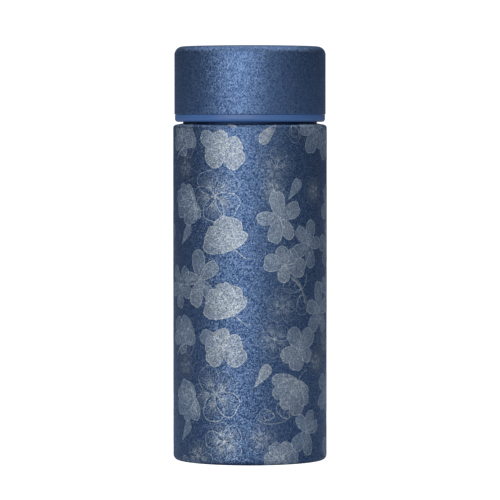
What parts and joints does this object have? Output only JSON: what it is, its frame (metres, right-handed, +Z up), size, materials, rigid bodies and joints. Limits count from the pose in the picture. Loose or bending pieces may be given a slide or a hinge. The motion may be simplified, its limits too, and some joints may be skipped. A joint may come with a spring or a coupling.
{
  "type": "vacuum insulated bottle",
  "caption": "Slim double-walled vacuum bottle with a painted body, a wide screw cap on a two-start thread, a plug with a silicone seal and a recessed steel base.",
  "frame": {"origin": "centre of the foot, on the plane the bottle stands on", "axes": "+Z up the bottle's axis to the cap; the part is round, and -Y is the side taken as its front"},
  "size_m": [0.056, 0.056, 0.1509],
  "materials": {
    "blue_paint": "metallic blue spray paint with a fine grain, printed with grey blossoms",
    "blue_plastic": "smooth satin blue",
    "cap_plastic": "satin moulded grey",
    "plug_plastic": "satin moulded off-white",
    "steel": "drawn and lightly brushed stainless steel",
    "foil": "bright rolled foil",
    "getter": "dull pressed metal powder",
    "seal_glass": "gloss solder glass",
    "foam": "matte expanded foam",
    "silicone": "matte silicone"
  },
  "bodies": {
    "bottle": {"outer_shell": "blue_paint", "threaded_neck": "steel", "inner_tube": "steel", "inner_bottom": "steel", "radiation_foil": "foil", "getter_clip": "steel", "getter_pellet": "getter", "base_plate": "steel", "seal_bead": "seal_glass", "base_cover": "steel"},
    "seal": {"plug_gasket": "silicone"},
    "cap": {"cap_cover": "blue_paint", "cap_trim_ring": "blue_plastic", "cap_body": "cap_plastic", "cap_foam": "foam", "plug_cup": "plug_plastic", "plug_foam": "foam"}
  },
  "joints": [
    {"name": "cap_rise", "type": "slide", "parent": "bottle", "child": "seal", "axis": [0, 0, 1], "range_m": [0, 0.0281]},
    {"name": "cap_turn", "type": "hinge", "parent": "seal", "child": "cap", "pos_m": [0, 0, 0.13], "axis": [0, 0, 1], "range_deg": [0, 1260]}
  ],
  "couplings": [
    {"joint": "cap_rise", "follows": "cap_turn", "m_per_rad": 0.0012732}
  ]
}
